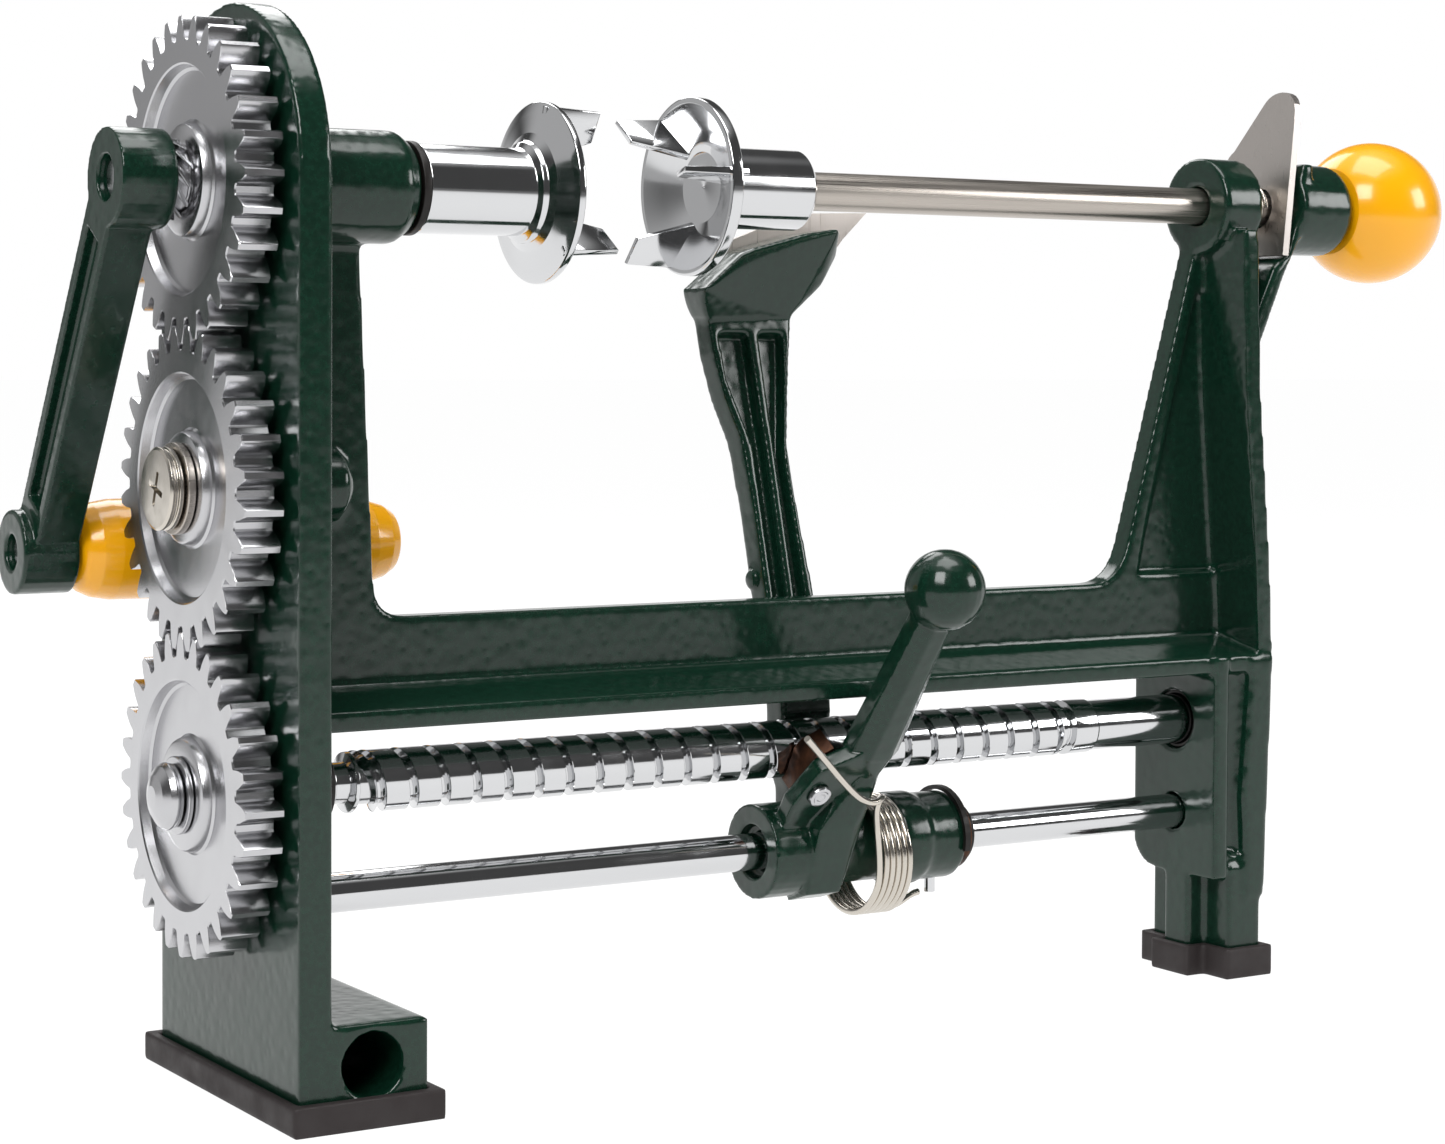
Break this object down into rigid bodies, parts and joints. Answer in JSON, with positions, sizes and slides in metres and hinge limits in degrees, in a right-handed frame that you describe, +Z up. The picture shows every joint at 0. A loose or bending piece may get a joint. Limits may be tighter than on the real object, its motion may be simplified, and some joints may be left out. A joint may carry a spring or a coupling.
{
  "type": "apple peeler",
  "caption": "Hand-cranked apple peeler: green cast-iron frame, a train of three gears, forked fruit spindle, sprung knife on a lead screw, sliding tailstock with a yellow ball knob.",
  "frame": {"origin": "centre of the left foot pad's underside, straight below the spindle axis", "axes": "+X along the spindle from the gears to the ball knob, -Y towards the user, +Z up"},
  "size_m": [0.4124, 0.1257, 0.253],
  "materials": {
    "enamel": "glossy hammered",
    "chrome": "polished",
    "zinc": "zinc plated",
    "stainless": "brushed",
    "nickel": "nickel plated",
    "rubber": "matte",
    "yellow": "glossy",
    "bronze": "dull",
    "black": "matte"
  },
  "bodies": {
    "frame": {"frame_casting": "enamel", "left_foot_pad": "rubber", "right_foot_pad": "rubber", "spindle_bush": "black", "idler_bush": "bronze", "idler_washer": "stainless", "idler_screw": "nickel", "screw_bush": "black", "screw_end_bush": "black", "guide_rod": "chrome", "lock_spring": "nickel"},
    "spindle": {"spindle_shaft": "zinc", "drive_fork": "chrome", "spindle_gear": "zinc", "crank_washer": "zinc", "crank_arm": "enamel", "grip_bolt": "zinc"},
    "grip": {"crank_grip": "yellow"},
    "idler": {"idler_gear": "zinc"},
    "screw": {"lead_screw": "chrome", "screw_gear": "zinc", "screw_flat_washer": "zinc", "screw_spring_washer": "zinc", "screw_bolt": "zinc"},
    "carriage": {"end_washer": "bronze", "retaining_clip": "black"},
    "knife": {"knife_arm": "enamel", "knife_blade": "stainless", "blade_screw_left": "zinc", "blade_screw_right": "zinc", "sleeve_pin": "chrome", "sleeve_band": "black"},
    "lever": {"release_lever": "enamel", "half_nut": "bronze", "half_nut_rivet": "zinc", "torsion_spring": "nickel"},
    "tailstock": {"tail_rod": "stainless", "ball_knob": "yellow"},
    "tail_fork": {"tail_fork": "chrome"},
    "lock": {"lock_plate": "stainless"}
  },
  "joints": [
    {"name": "spindle_turn", "type": "hinge", "parent": "frame", "child": "spindle", "pos_m": [0, 0, 0.212], "axis": [1, 0, 0], "range_deg": [0, 294]},
    {"name": "grip_spin", "type": "hinge", "parent": "spindle", "child": "grip", "pos_m": [0, 0.05588, 0.12429], "axis": [1, 0, 0], "continuous": true},
    {"name": "idler_turn", "type": "hinge", "parent": "frame", "child": "idler", "pos_m": [0, 0, 0.1415], "axis": [1, 0, 0], "range_deg": [-294, 0]},
    {"name": "screw_turn", "type": "hinge", "parent": "frame", "child": "screw", "pos_m": [0, 0, 0.071], "axis": [1, 0, 0], "range_deg": [0, 294]},
    {"name": "carriage_slide", "type": "slide", "parent": "frame", "child": "carriage", "axis": [1, 0, 0], "range_m": [-0.068, 0.075]},
    {"name": "knife_swing", "type": "hinge", "parent": "carriage", "child": "knife", "pos_m": [0.15, 0, 0.045], "axis": [1, 0, 0], "range_deg": [-18, 2]},
    {"name": "lever_swing", "type": "hinge", "parent": "carriage", "child": "lever", "pos_m": [0.15, 0, 0.045], "axis": [1, 0, 0], "range_deg": [0, 15], "stiffness_Nm_per_rad": 0.4, "springref_deg": -34.38},
    {"name": "tail_slide", "type": "slide", "parent": "frame", "child": "tailstock", "axis": [1, 0, 0], "range_m": [0, 0.13]},
    {"name": "tail_fork_spin", "type": "hinge", "parent": "tailstock", "child": "tail_fork", "pos_m": [0.13, 0, 0.215], "axis": [1, 0, 0], "continuous": true},
    {"name": "lock_plate_tilt", "type": "hinge", "parent": "frame", "child": "lock", "pos_m": [0.3, 0, 0.2014], "axis": [0, 1, 0], "range_deg": [-3, 0], "stiffness_Nm_per_rad": 0.3, "springref_deg": 11.46}
  ],
  "couplings": [
    {"joint": "idler_turn", "follows": "spindle_turn", "ratio": -1},
    {"joint": "screw_turn", "follows": "spindle_turn", "ratio": 1}
  ]
}
